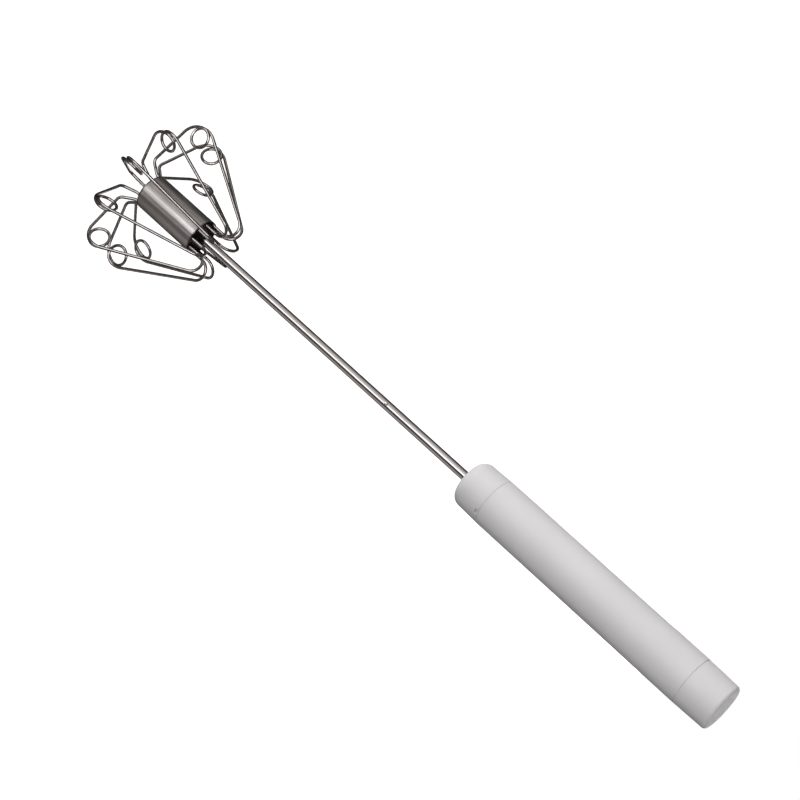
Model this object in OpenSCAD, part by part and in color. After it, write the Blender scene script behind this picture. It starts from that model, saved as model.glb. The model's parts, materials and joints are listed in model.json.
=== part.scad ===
// Push-action hand whisk: pressing the handle down on the shaft spins the wire head.
// Frame: +Z runs along the shaft from the head to the handle, and the origin is on the
// axis at the level of the lowest wires.  Millimetres.

/* [Wire head] */
// Number of wire tines round the head
tines = 10; // [6:1:10]
// Diameter of the tine wire
wire_d = 1.3; // [1.1:0.05:1.35]
// Sideways offset of each leg of a tine from its own plane
leg_offset = 0.74; // [0.72:0.01:0.78]
// Radius of the bend at the lower end of a tine
tip_bend_r = 2.4; // [2:0.1:3]
// Distance of that bend's centre from the axis
tip_bend_x = 11.77; // [11.5:0.01:11.8]
// Angle between the short neck below the sleeve and the axis
neck_angle = 35; // [33:1:36]
// Radius of the wide outer corner
corner_r = 7.9; // [7:0.1:8.5]
// Distance of the outer corner's centre from the axis
corner_x = 26.5; // [25:0.1:27]
// Height of the outer corner's centre
corner_z = 11.6; // [11:0.1:12]
// Mean radius of the small coil in the outer corner
coil_r = 4.1; // [3.6:0.1:4.4]
// Angle below horizontal at which the coil touches the outer corner
coil_angle = 10; // [5:1:20]
// Radius of the U-turn at the upper end of a tine
turn_r = 4.6; // [4.2:0.1:5]
// Height of the U-turn's centre
turn_z = 45.1; // [44:0.1:47]
// Distance of both legs from the axis, inside the sleeve
leg_x = 6.74; // [6.5:0.01:6.74]

/* [Hub] */
// Outside diameter of the steel sleeve round the tine ends
sleeve_d = 15.7; // [15.7:0.1:16.2]
// Wall of the steel sleeve
sleeve_wall = 0.35; // [0.3:0.01:0.35]
// Height of the sleeve's lower rim
sleeve_z = 7.8; // [7.5:0.1:8.5]
// Length of the sleeve
sleeve_l = 31.3; // [28:0.1:32]

/* [Shaft] */
// Outside diameter of the shaft tube
shaft_d = 4.0; // [4.0:0.1:4.2]
// Wall of the shaft tube
shaft_wall = 0.4; // [0.3:0.05:0.4]

/* [Handle] */
// Height of the handle's front face
handle_z = 191.3; // [180:0.1:200]
// Length of the front collar that shows
collar_l = 13.9; // [12:0.1:18]
// Length of the grip sleeve
grip_l = 100.1; // [98:0.1:110]
// Length of the rear cap that shows
cap_l = 15.1; // [14:0.1:18]
// Outside diameter of the grip
grip_d = 20.6; // [20:0.1:22]
// Wall of the grip sleeve
grip_wall = 1.75; // [1.5:0.05:1.8]
// How much narrower in radius the collar and cap are at their outer ends
end_taper = 0.3; // [0:0.05:0.5]
// Radius of the collar's rounded shoulder
shoulder_r = 4.2; // [3:0.1:5]

/* [Drive] */
// Travel of the shaft into the handle
stroke = 60; // [40:1:60]
// Rise of the twisted strip in one full turn
lead = 24; // [20:1:30]
// Width of the twisted strip
strip_w = 2.4; // [2:0.1:2.4]
// Thickness of the twisted strip
strip_t = 0.8; // [0.6:0.1:0.8]
// Wire diameter of the return spring
spring_wire = 0.9; // [0.7:0.1:0.9]
// Mean radius of the return spring
spring_r = 5.6; // [5.2:0.1:5.8]
// Turns of the return spring
spring_turns = 19; // [16:1:20]

/* [Hidden] */
INNER = ["twist_strip", "strip_pin", "return_spring", "spring_seat", "thrust_washer", "drive_nut"];
SHELL = ["front_collar", "guide_bush", "stop_bumper", "grip_sleeve", "rear_cap"];
HEAD = ["shaft_tube", "hub_core", "hub_sleeve"];

$fn = 64;
eps = 0.01;
slip = 0.05;                       // gap of a sliding or pressed fit
wire_r = wire_d / 2;
joint_swell = 0.01;                // a ball this much larger joins each pair of wire pieces
sleeve_r = sleeve_d / 2;
sleeve_in_r = sleeve_r - sleeve_wall;
rim_break = 0.12;                  // broken edge of the sleeve's rims
shaft_r = shaft_d / 2;
shaft_in_r = shaft_r - shaft_wall;
grip_r = grip_d / 2;
grip_in_r = grip_r - grip_wall;

// Seams and levels of the handle
front_seam = handle_z + collar_l;
rear_seam = front_seam + grip_l;
rear_end = rear_seam + cap_l;
seam_cut = 0.2;                    // chamfer on both sides of each seam
spigot_l = 7.6;                    // how far the collar and cap reach into the grip
collar_wall = 1.7;                 // front wall of the collar
bush_flange_z = front_seam + spigot_l;
bush_flange_t = 1.5;
bumper_t = 2.5;
bumper_z = bush_flange_z + bush_flange_t;
nut_z = bumper_z + bumper_t + 0.1;
nut_flange_t = 2;
nut_l = 11;
nut_slot_l = 4;                    // engaged length of the nut's twisted slot
shaft_top = nut_z + nut_l - nut_slot_l;
washer_t = 0.8;
seat_z = nut_z + nut_l + washer_t;
seat_t = 1.4;
cap_wall = 3.5;
cap_seat = rear_end - cap_wall;    // the spring's fixed end
boss_l = 9;
boss_r = 3.2;
pin_z = cap_seat - boss_l / 2;
pin_r = 0.75;

// Hub core and the ends of the tine legs in it
core_z = 11.5;
core_l = 21.5;
core_mid = core_z + core_l / 2;
leg_gap = 1;                       // half of the web left between upper and lower grooves
neck_bend_r = 3;
shaft_foot = core_z + 1;
shaft_foot_wall = 1.5;

// Twisted strip: untwisted in the boss, then one turn per lead downwards
twist_top = cap_seat - boss_l - 1;
strip_foot = bush_flange_z + 1;
slices_per_turn = 24;
crimp_z = strip_foot - stroke - 7; // the crimps lie just below the strip's foot at full stroke

// How far each tine stands off its even place round the head, degrees, and how much
// lower or higher it was bent at its U-turn
BEARING_SLACK = [0, 0, 0, 6, 0, 0, 0, 1, -1, 2];
TURN_SLACK = [0, 0, 0, 0, 0, 0, -0.7, -1.4, 0, 0];

function tine_name(i) = str("tine_", i < 10 ? "0" : "", i);
function bearing(i) = (i - 1) * 360 / tines + BEARING_SLACK[i - 1];
function strip_angle(z) = 360 * (z - twist_top) / lead;

// ---- tine path, in its own plane: x outwards from the axis, z up ----
// A straight leg between two bends of the same hand is their common tangent.
tip_c = [tip_bend_x, wire_r + tip_bend_r];
corner_c = [corner_x, corner_z];
function turn_c(i) = [leg_x + turn_r, turn_z + TURN_SLACK[i - 1]];

function span(a, b) = norm(b - a);
function heading(a, b) = atan2(b[1] - a[1], b[0] - a[0]);
function tangent_heading(a, ra, b, rb) = heading(a, b) + asin((rb - ra) / span(a, b));
function tangent_length(a, ra, b, rb) = sqrt(pow(span(a, b), 2) - pow(ra - rb, 2));

function slant_heading(i) = tangent_heading(turn_c(i), turn_r, corner_c, corner_r);
function slant_length(i) = tangent_length(turn_c(i), turn_r, corner_c, corner_r);
inward_heading = tangent_heading(corner_c, corner_r, tip_c, tip_bend_r);
inward_length = tangent_length(corner_c, corner_r, tip_c, tip_bend_r);

coil_heading = -90 - coil_angle;             // direction of the wire where the coil touches
neck_heading = -270 + neck_angle;
neck_start = tip_c + tip_bend_r * [-cos(neck_angle), -sin(neck_angle)];
neck_rise = neck_bend_r * sin(neck_angle);
neck_reach = neck_start[0] - leg_x - neck_bend_r * (1 - cos(neck_angle));
neck_length = neck_reach / sin(neck_angle);
lower_leg_z = neck_start[1] + neck_length * cos(neck_angle) + neck_rise;
upper_leg_z = core_mid + leg_gap;
lower_leg_l = core_mid - leg_gap - lower_leg_z;

// Each step is [roll about the wire, bend radius or 0 for straight, bend angle or length].
// The coil is two half turns, each rolled a little so that it climbs by the two offsets.
coil_roll = asin(leg_offset / (2 * coil_r));
function tine_path(i) = [
    [0, 0, turn_c(i)[1] - upper_leg_z],
    [0, turn_r, 90 - slant_heading(i)],
    [0, 0, slant_length(i)],
    [0, corner_r, slant_heading(i) - coil_heading],
    [coil_roll, coil_r, 180],
    [2 * coil_roll, coil_r, 180],
    [coil_roll, corner_r, coil_heading - inward_heading],
    [0, 0, inward_length],
    [0, tip_bend_r, inward_heading - neck_heading],
    [0, 0, neck_length],
    [0, neck_bend_r, neck_angle],
    [0, 0, lower_leg_l]
];

// A torus piece that starts at the origin along +Z and bends towards +X
module bend(r, angle) {
    translate([r, 0, 0])
        rotate([90, 0, 180])
            rotate_extrude(angle = angle)
                translate([r, 0])
                    circle(r = wire_r);
}

// Draws the steps of a path one after another, each from the end of the last
module follow(path, i = 0) {
    if (i < len(path)) {
        roll = path[i][0];
        r = path[i][1];
        amount = path[i][2];
        rotate([0, 0, roll]) {
            if (i > 0)
                sphere(r = wire_r + joint_swell);
            if (r == 0) {
                cylinder(r = wire_r, h = amount);
                translate([0, 0, amount])
                    follow(path, i + 1);
            } else {
                bend(r, amount);
                translate([r * (1 - cos(amount)), 0, r * sin(amount)])
                    rotate([0, amount, 0])
                        follow(path, i + 1);
            }
        }
    }
}

// One tine: from the hub up, round the U-turn, out and down to the coil, in to the hub
module tine(i) {
    color("silver")
        rotate([0, 0, bearing(i)])
            translate([leg_x, -leg_offset, upper_leg_z])
                follow(tine_path(i));
}

// Bright sleeve pressed over the ends of the tines
module hub_sleeve() {
    color("gainsboro")
        difference() {
            skin(sleeve_z, sleeve_z + sleeve_l, sleeve_r, sleeve_r, rim_break, rim_break);
            translate([0, 0, sleeve_z - eps])
                cylinder(r = sleeve_in_r, h = sleeve_l + 2 * eps);
        }
}

// A groove of the core for one leg, open to the outside
module leg_groove(y, z, l) {
    width = wire_d + 2 * slip;
    translate([leg_x - wire_r - slip, y - width / 2, z])
        cube([sleeve_r, width, l]);
}

// Grooved core between shaft and sleeve: lower legs in its lower half, upper in its upper
module hub_core() {
    groove_l = core_l / 2 - leg_gap + 1;
    color("gray")
        difference() {
            translate([0, 0, core_z])
                cylinder(r = sleeve_in_r - slip, h = core_l);
            translate([0, 0, core_z - 1])
                cylinder(r = shaft_r + slip, h = core_l + 2);
            for (i = [1 : tines])
                rotate([0, 0, bearing(i)]) {
                    leg_groove(leg_offset, core_z - 1, groove_l + slip);
                    leg_groove(-leg_offset, core_mid + leg_gap - slip, groove_l + slip);
                }
        }
}

// Steel tube that spins and slides, closed at its foot, with a pair of small crimps
module shaft_tube() {
    crimp_r = 1.5;
    crimp_depth = 0.25;
    color("lightgray")
        difference() {
            translate([0, 0, shaft_foot])
                cylinder(r = shaft_r, h = shaft_top - shaft_foot);
            translate([0, 0, shaft_foot + shaft_foot_wall])
                cylinder(r = shaft_in_r, h = shaft_top - shaft_foot);
            for (side = [-1, 1])
                translate([side * (shaft_r + crimp_r - crimp_depth), 0, crimp_z])
                    sphere(r = crimp_r);
        }
}

// Faces of a closed tube swept through n rings of k points each, its sides in triangles
function ring_faces(n, k) = concat(
    [[for (j = [0 : k - 1]) j]],
    [for (i = [0 : n - 2]) for (j = [0 : k - 1]) for (half = [0, 1])
        let (a = i * k + j, b = i * k + (j + 1) % k)
        half == 0 ? [a, a + k, b + k] : [a, b + k, b]],
    [[for (j = [k - 1 : -1 : 0]) (n - 1) * k + j]]
);

// Flat bar whose section turns with height, one turn per lead
module twisted_bar(t, w, z0, z1) {
    slices = ceil((z1 - z0) / lead * slices_per_turn);
    corners = [[-t, -w] / 2, [t, -w] / 2, [t, w] / 2, [-t, w] / 2];
    points = [for (i = [0 : slices]) for (c = corners)
        let (z = z0 + (z1 - z0) * i / slices, a = strip_angle(z))
        [c[0] * cos(a) - c[1] * sin(a), c[0] * sin(a) + c[1] * cos(a), z]];
    polyhedron(points = points, faces = ring_faces(slices + 1, 4));
}

// Flanged nut on the top of the shaft; its slot has the twist of the strip
module drive_nut() {
    clearance = 0.15;
    color("ivory")
        difference() {
            union() {
                translate([0, 0, nut_z])
                    cylinder(r = 6, h = nut_flange_t);
                translate([0, 0, nut_z])
                    cylinder(r = 4.2, h = nut_l);
            }
            translate([0, 0, nut_z - eps])
                cylinder(r = shaft_r + slip, h = shaft_top - nut_z + eps);
            twisted_bar(strip_t + 2 * clearance, strip_w + 2 * clearance,
                        shaft_top - 1, nut_z + nut_l + 1);
        }
}

// Flat ring between two heights
module ring(r_out, r_in, z, t) {
    translate([0, 0, z])
        difference() {
            cylinder(r = r_out, h = t);
            translate([0, 0, -eps])
                cylinder(r = r_in, h = t + 2 * eps);
        }
}

// Low-friction washer on which the nut turns against the spring's seat
module thrust_washer() {
    color("white")
        ring(5.2, 2, nut_z + nut_l, washer_t - slip);
}

// Guided seat for the moving end of the spring
module spring_seat() {
    rim_l = 2;
    color("dimgray") {
        ring(grip_in_r - 0.3, 2, seat_z, seat_t);
        ring(spring_r - spring_wire / 2 - 0.25, spring_r - spring_wire / 2 - 1.25,
             seat_z + seat_t, rim_l);
    }
}

// Height of the coil at turn t: one flat turn at each end, an even pitch between them
function spring_rise(t, turns, pitch) =
    t < 1 ? spring_wire * t :
    t > turns - 1 ? spring_wire + pitch * (turns - 2) + spring_wire * (t - turns + 1) :
    spring_wire + pitch * (t - 1);

// Compression spring between the sliding seat and the rear cap
module return_spring() {
    per_turn = 16;
    sides = 8;
    foot = seat_z + seat_t + slip + spring_wire / 2;
    length = cap_seat - slip - spring_wire / 2 - foot;
    pitch = (length - 2 * spring_wire) / (spring_turns - 2);
    rings = spring_turns * per_turn + 1;
    points = [for (i = [0 : rings - 1]) for (j = [0 : sides - 1])
        let (a = 360 * i / per_turn,
             b = 360 * j / sides,
             r = spring_r + spring_wire / 2 * cos(b),
             z = foot + spring_rise(i / per_turn, spring_turns, pitch) + spring_wire / 2 * sin(b))
        [r * cos(a), r * sin(a), z]];
    color("darkgray")
        polyhedron(points = points, faces = ring_faces(rings, sides));
}

// Steel strip, twisted except for its upper end, which is pinned in the rear cap
module twist_strip() {
    swell = 0.02;                  // the flat end covers the last of the twist
    overlap = 0.5;
    flat_z = twist_top - overlap;
    color("slategray") {
        twisted_bar(strip_t, strip_w, strip_foot, twist_top);
        difference() {
            translate([-(strip_t + swell) / 2, -(strip_w + swell) / 2, flat_z])
                cube([strip_t + swell, strip_w + swell, cap_seat - slip - flat_z]);
            translate([0, 0, pin_z])
                rotate([0, 90, 0])
                    cylinder(r = pin_r + slip, h = strip_w, center = true);
        }
    }
}

// Cross pin that holds the strip in the rear cap's boss
module strip_pin() {
    color("silver")
        translate([0, 0, pin_z])
            rotate([0, 90, 0])
                cylinder(r = pin_r, h = 2 * boss_r - 0.2, center = true);
}

// Outer skin of a handle piece: a tube profile with a small chamfer at each seam
module skin(z0, z1, r0, r1, chamfer0, chamfer1) {
    rotate_extrude()
        polygon([[0, z0], [r0 - chamfer0, z0], [r0, z0 + chamfer0],
                 [r1, z1 - chamfer1], [r1 - chamfer1, z1], [0, z1]]);
}

// White collar at the front of the handle, with a rounded shoulder and a spigot
module front_collar() {
    wide = grip_r - slip;
    narrow = wide - end_taper;
    notch_bearing = 51;
    notch_l = 1.8;
    notch_w = 2.4;
    notch_depth = 1.3;
    color("whitesmoke")
        difference() {
            union() {
                rotate_extrude()
                    union() {
                        translate([0, handle_z])
                            square([narrow - shoulder_r, shoulder_r]);
                        intersection() {
                            translate([narrow - shoulder_r, handle_z + shoulder_r])
                                circle(r = shoulder_r);
                            translate([0, handle_z])
                                square([narrow, shoulder_r]);
                        }
                    }
                skin(handle_z + shoulder_r, front_seam, narrow, wide, 0, seam_cut);
                translate([0, 0, front_seam])
                    cylinder(r = grip_in_r - slip, h = spigot_l);
            }
            translate([0, 0, handle_z - eps])
                cylinder(r = shaft_r + 0.35, h = collar_wall + 2 * eps);
            translate([0, 0, handle_z + collar_wall])
                cylinder(r = 4, h = collar_l + spigot_l);
            for (side = [0, 180])
                rotate([0, 0, notch_bearing - 90 + side])
                    translate([-notch_w / 2, wide - notch_depth, front_seam - notch_l])
                        cube([notch_w, notch_depth + 1, notch_l + eps]);
        }
}

// Bearing bush for the shaft, flanged at the top
module guide_bush() {
    foot = handle_z + collar_wall;
    color("ivory")
        difference() {
            union() {
                translate([0, 0, foot])
                    cylinder(r = 4 - slip, h = bush_flange_z - foot);
                translate([0, 0, bush_flange_z])
                    cylinder(r = 6.5, h = bush_flange_t);
            }
            translate([0, 0, foot - eps])
                cylinder(r = shaft_r + slip, h = bumper_z - foot + 2 * eps);
        }
}

// Soft ring that takes the knock when the spring pushes the shaft back out
module stop_bumper() {
    color("darkslategray")
        ring(6, shaft_r + 0.3, bumper_z, bumper_t);
}

// Long plain grip
module grip_sleeve() {
    color("white")
        difference() {
            skin(front_seam, rear_seam, grip_r, grip_r, seam_cut, seam_cut);
            translate([0, 0, front_seam - eps])
                cylinder(r = grip_in_r, h = grip_l + 2 * eps);
        }
}

// Rear cap: tapers slightly, rounded at the end, with a slotted boss for the strip
module rear_cap() {
    edge_r = 1.5;
    wide = grip_r - slip;
    narrow = wide - end_taper;
    cavity_r = 7;
    color("whitesmoke")
        difference() {
            union() {
                skin(rear_seam, rear_end - edge_r, wide, narrow, seam_cut, 0);
                rotate_extrude()
                    union() {
                        intersection() {
                            translate([narrow - edge_r, rear_end - edge_r])
                                circle(r = edge_r);
                            translate([0, rear_end - edge_r])
                                square([narrow, edge_r]);
                        }
                        translate([0, rear_end - edge_r])
                            square([narrow - edge_r, edge_r]);
                    }
                translate([0, 0, rear_seam - spigot_l])
                    cylinder(r = grip_in_r - slip, h = spigot_l);
            }
            difference() {
                translate([0, 0, rear_seam - spigot_l - eps])
                    cylinder(r = cavity_r, h = cap_seat - rear_seam + spigot_l + eps);
                translate([0, 0, cap_seat - boss_l])
                    cylinder(r = boss_r, h = boss_l);
            }
            translate([-strip_t / 2 - slip, -strip_w / 2 - slip, cap_seat - boss_l - 1])
                cube([strip_t + 2 * slip, strip_w + 2 * slip, boss_l + 1]);
            translate([0, 0, pin_z])
                rotate([0, 90, 0])
                    cylinder(r = pin_r + slip, h = 2 * boss_r + 1, center = true);
        }
}

front_collar();
guide_bush();
stop_bumper();
grip_sleeve();
rear_cap();
twist_strip();
strip_pin();
return_spring();
spring_seat();
thrust_washer();
drive_nut();
shaft_tube();
hub_core();
hub_sleeve();
for (i = [1 : tines])
    tine(i);
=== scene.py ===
"""Looks of the push-action hand whisk: materials, a finished spring, light and camera."""

import json
import math

import bpy
from mathutils import Matrix, Vector


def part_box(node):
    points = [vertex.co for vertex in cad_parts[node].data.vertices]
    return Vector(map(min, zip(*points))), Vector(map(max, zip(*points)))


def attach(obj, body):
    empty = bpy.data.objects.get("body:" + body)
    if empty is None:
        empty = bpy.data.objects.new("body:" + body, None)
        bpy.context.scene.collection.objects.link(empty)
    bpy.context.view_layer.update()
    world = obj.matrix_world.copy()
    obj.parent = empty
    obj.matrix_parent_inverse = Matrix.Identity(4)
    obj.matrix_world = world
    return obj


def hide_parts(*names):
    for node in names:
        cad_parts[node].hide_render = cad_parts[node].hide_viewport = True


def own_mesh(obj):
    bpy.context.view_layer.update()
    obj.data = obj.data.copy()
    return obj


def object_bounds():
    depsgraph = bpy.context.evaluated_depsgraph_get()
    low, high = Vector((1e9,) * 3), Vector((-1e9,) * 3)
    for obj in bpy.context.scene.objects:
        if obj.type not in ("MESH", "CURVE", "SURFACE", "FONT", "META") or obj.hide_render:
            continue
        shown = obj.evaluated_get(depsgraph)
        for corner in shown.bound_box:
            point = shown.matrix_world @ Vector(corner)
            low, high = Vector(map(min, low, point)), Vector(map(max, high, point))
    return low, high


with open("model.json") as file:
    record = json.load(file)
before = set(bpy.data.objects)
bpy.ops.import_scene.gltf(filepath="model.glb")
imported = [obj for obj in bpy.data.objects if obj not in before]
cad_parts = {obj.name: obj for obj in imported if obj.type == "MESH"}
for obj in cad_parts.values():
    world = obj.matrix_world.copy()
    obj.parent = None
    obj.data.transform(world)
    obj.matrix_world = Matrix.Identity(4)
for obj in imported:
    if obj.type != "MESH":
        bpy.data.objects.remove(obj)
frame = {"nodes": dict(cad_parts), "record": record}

CAD_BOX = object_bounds()
MM = 0.001
PER_MM = 1 / MM


# ---- nodes ----


def feed(tree, value, socket):
    """Links value to the socket if it is a socket itself, or else sets it as a constant."""
    if isinstance(value, bpy.types.NodeSocket):
        tree.links.new(value, socket)
    else:
        socket.default_value = value


def add_node(tree, kind, inputs=None, **settings):
    """A new node. inputs maps its sockets, by name or number, to what feeds them."""
    made = tree.nodes.new(kind)
    for name, value in settings.items():
        setattr(made, name, value)
    for socket, value in (inputs or {}).items():
        feed(tree, value, made.inputs[socket])
    return made


def shade(value, warmth=0.0):
    """A grey, a little warmer or cooler."""
    return (value * (1 + warmth), value, value * (1 - warmth / 2), 1.0)


class Look:
    """One node material. Most methods add nodes and return the socket to use next."""

    def __init__(self, name, **constants):
        self.material = bpy.data.materials.new(name)
        self.material.use_nodes = True
        self.tree = self.material.node_tree
        self.shader = self.tree.nodes["Principled BSDF"]
        for socket, value in constants.items():
            feed(self.tree, value, self.shader.inputs[socket.replace("_", " ")])
        self.place = add_node(self.tree, "ShaderNodeTexCoord").outputs["Object"]

    def grain(self, across, along, detail=2.0):
        """Noise with this many features per millimetre across and along the whisk's axis."""
        scale = (across * PER_MM, across * PER_MM, along * PER_MM)
        inputs = {0: self.place, 1: scale}
        stretched = add_node(self.tree, "ShaderNodeVectorMath", inputs, operation="MULTIPLY")
        inputs = {"Vector": stretched.outputs[0], "Scale": 1.0, "Detail": detail}
        return add_node(self.tree, "ShaderNodeTexNoise", inputs).outputs["Fac"]

    def fit(self, value, low, high, to_low, to_high):
        """value from low..high, held at the ends and moved to to_low..to_high."""
        inputs = {
            "Value": value,
            "From Min": low,
            "From Max": high,
            "To Min": to_low,
            "To Max": to_high,
        }
        made = add_node(self.tree, "ShaderNodeMapRange", inputs, clamp=True)
        return made.outputs["Result"]

    def share(self, value, low, high):
        """0 where value is at or under low, and 1 where it is at or over high."""
        return self.fit(value, low, high, 0, 1)

    def between(self, share, at_none, at_all):
        """at_none where the share is 0, and at_all where it is 1."""
        return self.fit(share, 0, 1, at_none, at_all)

    def math(self, operation, a, b):
        made = add_node(self.tree, "ShaderNodeMath", {0: a, 1: b}, operation=operation)
        return made.outputs[0]

    def product(self, a, b):
        return self.math("MULTIPLY", a, b)

    def near(self, level, reach):
        """1 at this height on the axis, in metres, and 0 further than reach from it."""
        parts = add_node(self.tree, "ShaderNodeSeparateXYZ", {0: self.place})
        off = self.math("SUBTRACT", parts.outputs["Z"], level)
        return self.fit(self.math("ABSOLUTE", off, 0.0), 0.0, reach, 1.0, 0.0)

    def mix(self, factor, first, second):
        """The first colour where factor is 0, and the second where it is 1."""
        made = add_node(self.tree, "ShaderNodeMix", data_type="RGBA")
        for name, value in {"Factor": factor, "A": first, "B": second}.items():
            kind = "VALUE" if name == "Factor" else "RGBA"
            socket = next(s for s in made.inputs if s.name == name and s.type == kind)
            feed(self.tree, value, socket)
        return next(s for s in made.outputs if s.type == "RGBA")

    def finish(self, colour, roughness, bumps):
        """Links colour, roughness and a chain of (height, depth in mm) bumps to the shader."""
        feed(self.tree, colour, self.shader.inputs["Base Color"])
        feed(self.tree, roughness, self.shader.inputs["Roughness"])
        normal = None
        for height, depth in bumps:
            inputs = {"Height": height, "Distance": depth * MM}
            if normal is not None:
                inputs["Normal"] = normal
            normal = add_node(self.tree, "ShaderNodeBump", inputs).outputs["Normal"]
        feed(self.tree, normal, self.shader.inputs["Normal"])
        return self.material


# ---- materials ----


def white_plastic(seams):
    """Matt moulded plastic: fine grain, faint handling marks, and darker seams: a little grime
    and painted shade.
    """
    look = Look("white_plastic_matt", IOR=1.49, Specular_IOR_Level=0.4)
    cloud = look.share(look.grain(across=0.08, along=0.05, detail=3), 0.35, 0.65)
    colour = look.mix(cloud, shade(0.795, 0.002), shade(0.82, 0.003))
    speck = look.fit(look.grain(across=1.6, along=1.6, detail=4), 0.66, 0.74, 0, 0.06)
    colour = look.mix(speck, colour, shade(0.68, 0.02))
    for seam in seams:
        # Painted shade with a little grime: the colour darkens within 0.3 mm of each seam.
        seam_grime_and_shade = look.product(look.near(seam, reach=0.3 * MM), look.grain(across=0.8, along=0.3))
        colour = look.mix(seam_grime_and_shade, colour, shade(0.62, 0.03))
    rub = look.share(look.grain(across=0.25, along=0.06, detail=4), 0.45, 0.7)
    roughness = look.between(rub, 0.56, 0.47)
    moulded = look.grain(across=3.2, along=3.2, detail=3)
    sink = look.grain(across=0.12, along=0.04, detail=1)
    return look.finish(colour, roughness, [(sink, 0.05), (moulded, 0.010)])


def natural_nylon():
    """Slightly yellow turned nylon with tool rings."""
    look = Look("natural_nylon", IOR=1.53)
    cloud = look.grain(across=0.5, along=0.5, detail=3)
    colour = look.mix(cloud, shade(0.70, 0.05), shade(0.78, 0.04))
    roughness = look.fit(look.grain(across=1, along=3), 0.3, 0.7, 0.36, 0.5)
    rings = look.grain(across=0.2, along=7, detail=1)
    return look.finish(colour, roughness, [(rings, 0.012)])


def soft_rubber():
    """Dark rubber with bloom and mould grain."""
    look = Look("soft_rubber", IOR=1.5)
    bloom = look.share(look.grain(across=0.6, along=0.6, detail=4), 0.4, 0.7)
    colour = look.mix(bloom, shade(0.035), shade(0.075, 0.02))
    roughness = look.between(bloom, 0.65, 0.85)
    moulded = look.grain(across=5, along=5, detail=3)
    return look.finish(colour, roughness, [(moulded, 0.02)])


def drawn_steel(name, bright, warmth, across, along, gloss, depth):
    """Steel with its grain along the axis: gloss is (lowest, highest) roughness."""
    look = Look(name, Metallic=1.0)
    line = look.share(look.grain(across, along, detail=3), 0.3, 0.7)
    cloud = look.share(look.grain(across=0.25, along=0.05, detail=3), 0.4, 0.65)
    dark = look.mix(line, shade(bright * 0.86, warmth), shade(bright, warmth))
    colour = look.mix(cloud, dark, shade(bright * 1.05, warmth * 0.6))
    low, high = gloss
    roughness = look.between(look.product(line, cloud), high, low)
    return look.finish(colour, roughness, [(line, depth)])


def wire_steel():
    """Drawn and tumbled wire: a soft polish with small pits and dull patches."""
    look = Look("wire_steel_polished", Metallic=1.0)
    bright = look.share(look.grain(across=0.18, along=0.18, detail=3), 0.42, 0.62)
    pits = look.share(look.grain(across=3.5, along=3.5), 0.62, 0.75)
    colour = look.mix(bright, shade(0.50, 0.05), shade(0.62, 0.03))
    colour = look.mix(look.product(pits, 0.6), colour, shade(0.22, 0.08))
    roughness = look.between(bright, 0.20, 0.11)
    fine = look.grain(across=7, along=7)
    return look.finish(colour, roughness, [(pits, -0.008), (fine, 0.003)])


def satin_sleeve(rims):
    """Brushed tube: lengthwise streaks that spread the light round it, and painted shade at
    its rims.
    """
    look = Look("sleeve_steel_brushed", Metallic=1.0, Anisotropic=0.5)
    tangent = add_node(look.tree, "ShaderNodeTangent", direction_type="RADIAL", axis="Z")
    feed(look.tree, tangent.outputs[0], look.shader.inputs["Tangent"])
    band = look.grain(across=0.7, along=0.004)
    streak = look.share(look.grain(across=1.4, along=0.008, detail=3), 0.38, 0.62)
    scratch = look.share(look.grain(across=9, along=0.12, detail=3), 0.3, 0.7)
    cloud = look.share(look.grain(across=0.3, along=0.1, detail=3), 0.4, 0.65)
    colour = look.mix(streak, shade(0.56, 0.06), shade(0.84, 0.03))
    colour = look.mix(look.product(scratch, 0.2), colour, shade(0.84, 0.02))
    colour = look.mix(look.product(cloud, 0.2), colour, shade(0.70, 0.01))
    for rim in rims:
        close = look.near(rim, reach=0.9 * MM)
        # Painted shade: the colour goes nearly black within 0.9 mm of each rim of the tube.
        rim_shade = look.product(close, look.grain(across=0.5, along=0.5, detail=3))
        colour = look.mix(look.product(rim_shade, 2.6), colour, shade(0.04, 0.1))
    roughness = look.between(scratch, 0.36, 0.28)
    return look.finish(colour, roughness, [(band, 0.16), (scratch, 0.001)])


def turned_core():
    """Dull machined steel, darker where oil has stayed."""
    look = Look("core_steel_turned", Metallic=1.0)
    dry = look.share(look.grain(across=0.5, along=0.5, detail=4), 0.4, 0.6)
    colour = look.mix(dry, shade(0.16, 0.04), shade(0.32, 0.03))
    roughness = look.between(dry, 0.34, 0.5)
    rings = look.grain(across=0.3, along=6)
    return look.finish(colour, roughness, [(rings, 0.01)])


grip_low, grip_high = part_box("grip_sleeve")
sleeve_low, sleeve_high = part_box("hub_sleeve")
FINISHES = {
    "white_plastic": white_plastic(seams=[grip_low.z, grip_high.z]),
    "bush_plastic": natural_nylon(),
    "bumper_rubber": soft_rubber(),
    "strip_steel": drawn_steel(
        "strip_steel_rolled",
        bright=0.50, warmth=0.02, across=4, along=0.3, gloss=(0.25, 0.4), depth=0.01,
    ),
    "spring_steel": drawn_steel(
        "spring_steel_drawn",
        bright=0.46, warmth=0.0, across=5, along=5, gloss=(0.24, 0.36), depth=0.004,
    ),
    "shaft_steel": drawn_steel(
        "shaft_steel_polished",
        bright=0.64, warmth=0.02, across=3, along=0.005, gloss=(0.10, 0.16), depth=0.0005,
    ),
    "core_steel": turned_core(),
    "sleeve_steel": satin_sleeve(rims=[sleeve_low.z, sleeve_high.z]),
    "wire_steel": wire_steel(),
}
for part in frame["record"]["subparts"]:
    finish = FINISHES[part["material_slot"]]
    for material_slot in frame["nodes"][part["node"]].material_slots:
        material_slot.material = finish


# ---- return spring: round wire, closed and ground end turns ----

SPRING_TURNS = 19
SPRING_WIRE_RADIUS = 0.45 * MM
# Share of the wire's radius that is left under its centre where an end turn is ground flat.
GROUND_TO = 0.4
STEPS_PER_TURN = 32
WIRE_SIDES = 12
SMOOTH_UP_TO = math.radians(50)


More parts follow.
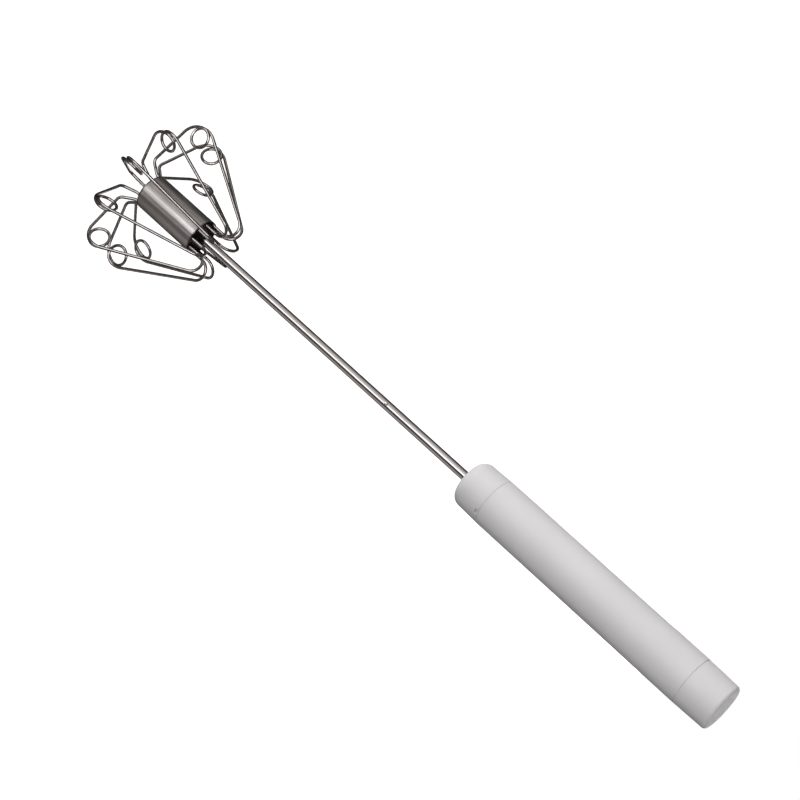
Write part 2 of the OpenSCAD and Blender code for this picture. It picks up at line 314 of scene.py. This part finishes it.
def spring_piece(name, wire_radius, turns):
    """A spring in the place of the CAD one, its end turns closed and ground flat."""
    low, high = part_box("return_spring")
    coil_radius = high.x - wire_radius
    foot, top = low.z + wire_radius * GROUND_TO, high.z - wire_radius * GROUND_TO
    closed = 2 * wire_radius
    pitch = (top - foot - 2 * closed) / (turns - 2)
    verts, faces = [], []
    rings = turns * STEPS_PER_TURN + 1
    for ring in range(rings):
        turn = ring / STEPS_PER_TURN
        if turn < 1:
            rise = closed * turn
        elif turn > turns - 1:
            rise = closed + pitch * (turns - 2) + closed * (turn - turns + 1)
        else:
            rise = closed + pitch * (turn - 1)
        around = 2 * math.pi * turn
        for side in range(WIRE_SIDES):
            angle = 2 * math.pi * side / WIRE_SIDES
            radius = coil_radius + wire_radius * math.cos(angle)
            z = foot + rise + wire_radius * math.sin(angle)
            z = min(max(z, low.z), high.z)
            verts.append((radius * math.cos(around), radius * math.sin(around), z))
            if ring:
                a = (ring - 1) * WIRE_SIDES + side
                b = (ring - 1) * WIRE_SIDES + (side + 1) % WIRE_SIDES
                faces.append((a, b, b + WIRE_SIDES, a + WIRE_SIDES))
    faces.append(tuple(reversed(range(WIRE_SIDES))))
    faces.append(tuple(range((rings - 1) * WIRE_SIDES, rings * WIRE_SIDES)))
    mesh = bpy.data.meshes.new(name)
    mesh.from_pydata(verts, [], faces)
    mesh.polygons.foreach_set("use_smooth", [True] * len(mesh.polygons))
    mesh.set_sharp_from_angle(angle=SMOOTH_UP_TO)
    mesh.materials.append(FINISHES["spring_steel"])
    made = bpy.data.objects.new(name, mesh)
    bpy.context.scene.collection.objects.link(made)
    return made


spring = spring_piece("return_spring_coil", SPRING_WIRE_RADIUS, SPRING_TURNS)
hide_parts("return_spring")
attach(spring, "handle")
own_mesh(spring)


# ---- camera ----

AIM = Vector((0.5, -4.9, 149.3)) * MM
VIEW_AZIMUTH, VIEW_ELEVATION, VIEW_ROLL = 6.25, 19.98, 132.04
VIEW_DISTANCE = 813.7 * MM
SENSOR_WIDTH, LENS = 36, 94.5
CLIP_START, CLIP_END = 0.05, 20


def direction(azimuth, elevation):
    """Unit vector, azimuth from +X towards +Y and elevation above the horizon, in degrees."""
    a, e = math.radians(azimuth), math.radians(elevation)
    return Vector((math.cos(a) * math.cos(e), math.sin(a) * math.cos(e), math.sin(e)))


def add_camera():
    back = direction(VIEW_AZIMUTH, VIEW_ELEVATION)
    level = Vector((0, 0, 1)).cross(back).normalized()
    upright = back.cross(level)
    turn = Matrix.Rotation(math.radians(VIEW_ROLL), 3, back)
    axes = Matrix((turn @ level, turn @ upright, back)).transposed()
    data = bpy.data.cameras.new("camera")
    data.sensor_width = SENSOR_WIDTH
    data.lens = LENS
    data.clip_start, data.clip_end = CLIP_START, CLIP_END
    camera = bpy.data.objects.new("camera", data)
    camera.matrix_world = Matrix.Translation(AIM + back * VIEW_DISTANCE) @ axes.to_4x4()
    bpy.context.scene.collection.objects.link(camera)
    bpy.context.scene.camera = camera


# ---- light and floor ----

WHITE = (1, 1, 1)
PLAIN = (1, 0.985, 0.985)
SOFT = (1, 0.98, 0.98)
WARM = (1, 0.97, 0.96)
AMBER = (1, 0.93, 0.90)
ROOM = (1, 0.91, 0.87)


def soft_box(name, towards, size, power, tint=PLAIN, distance=1.5, use="both"):
    """A rectangular light that faces the whisk.

    towards is its (azimuth, elevation) in degrees, and size its (width, height) in metres.
    Metal doesn't mirror a box whose use is "fill", and a "mirror" box lights nothing else.
    """
    data = bpy.data.lights.new(name, "AREA")
    data.shape = "RECTANGLE"
    data.size, data.size_y = size
    data.energy = power
    data.color = tint
    light = bpy.data.objects.new(name, data)
    heading = direction(*towards)
    light.location = AIM + heading * distance
    light.rotation_euler = heading.to_track_quat("Z", "Y").to_euler()
    light.visible_camera = False
    light.visible_glossy = use != "fill"
    light.visible_diffuse = use != "mirror"
    bpy.context.scene.collection.objects.link(light)


def pale_floor(half_width, glow):
    """A pale floor that glows a little, so that it stays nearly white under the whisk."""
    look = Look("pale_floor", Emission_Color=(*WHITE, 1), Emission_Strength=glow)
    colour = look.mix(look.grain(across=0.01, along=0.01), shade(0.86), shade(0.9))
    roughness = look.between(look.grain(across=0.05, along=0.05), 0.7, 0.9)
    look.finish(colour, roughness, [(look.grain(across=0.5, along=0.5), 0.01)])
    mesh = bpy.data.meshes.new("floor")
    w = half_width
    level = CAD_BOX[0].z
    corners = [(-w, -w, level), (w, -w, level), (w, w, level), (-w, w, level)]
    mesh.from_pydata(corners, [], [(0, 1, 2, 3)])
    mesh.materials.append(look.material)
    floor = bpy.data.objects.new("floor", mesh)
    bpy.context.scene.collection.objects.link(floor)
    floor.visible_diffuse = False
    floor.visible_glossy = False
    floor.visible_shadow = False


def white_surround(fill, mirrored, behind, fade):
    """White to the camera, a soft fill for the whisk, and dim in what metal mirrors.

    What metal mirrors is darker behind the whisk, which keeps the edges of round metal dark.
    fade holds the cosines of the angle from the camera at which that starts and ends.
    """
    world = bpy.data.worlds.new("surround")
    world.use_nodes = True
    tree = world.node_tree
    seen = tree.nodes["Background"]
    feed(tree, (*WHITE, 1), seen.inputs["Color"])
    inputs = {"Color": (*PLAIN, 1), "Strength": fill}
    lit = add_node(tree, "ShaderNodeBackground", inputs)
    place = add_node(tree, "ShaderNodeTexCoord").outputs["Generated"]
    inputs = {0: place, 1: direction(VIEW_AZIMUTH, VIEW_ELEVATION)}
    facing = add_node(tree, "ShaderNodeVectorMath", inputs, operation="DOT_PRODUCT")
    starts, ends = fade
    inputs = {
        "Value": facing.outputs["Value"],
        "From Min": ends,
        "From Max": starts,
        "To Min": behind,
        "To Max": mirrored,
    }
    strength = add_node(tree, "ShaderNodeMapRange", inputs).outputs["Result"]
    inputs = {"Color": (*ROOM, 1), "Strength": strength}
    dim = add_node(tree, "ShaderNodeBackground", inputs)
    path = add_node(tree, "ShaderNodeLightPath")
    inputs = {0: path.outputs["Is Glossy Ray"], 1: lit.outputs[0], 2: dim.outputs[0]}
    unseen = add_node(tree, "ShaderNodeMixShader", inputs)
    inputs = {0: path.outputs["Is Camera Ray"], 1: unseen.outputs[0], 2: seen.outputs[0]}
    whole = add_node(tree, "ShaderNodeMixShader", inputs)
    feed(tree, whole.outputs[0], tree.nodes["World Output"].inputs["Surface"])
    bpy.context.scene.world = world


add_camera()
bpy.context.scene.view_settings.view_transform = "Standard"
white_surround(fill=0.13, mirrored=0.08, behind=0.01, fade=(-0.1, -0.75))
pale_floor(half_width=3.0, glow=0.9)
soft_box("front_box", (9, -4), (0.8, 1.7), power=8.6)
soft_box("upper_box", (7, 33), (0.9, 0.6), power=3.6, use="mirror")
soft_box("side_box", (-30, -20), (0.8, 0.57), power=1.21, tint=WARM, use="mirror")
soft_box("far_side_box", (-64, -20), (0.8, 0.57), power=0.53, tint=AMBER, use="mirror")
soft_box("left_box", (98, -20), (1.3, 0.57), power=0.82, tint=AMBER, use="mirror")
soft_box("front_fill", (-14, 0), (1.2, 3.0), power=5.0, use="fill")
soft_box("key_box", (-60, -42), (0.8, 0.8), power=9.4, tint=SOFT, distance=1.2, use="fill")
soft_box("end_fill", (20, 70), (0.8, 0.8), power=3.2, tint=SOFT, distance=1.4, use="fill")
soft_box("back_box", (190, -4), (0.7, 1.7), power=5.0)
soft_box("back_fill", (200, 10), (1.2, 2.0), power=10.0, use="fill")
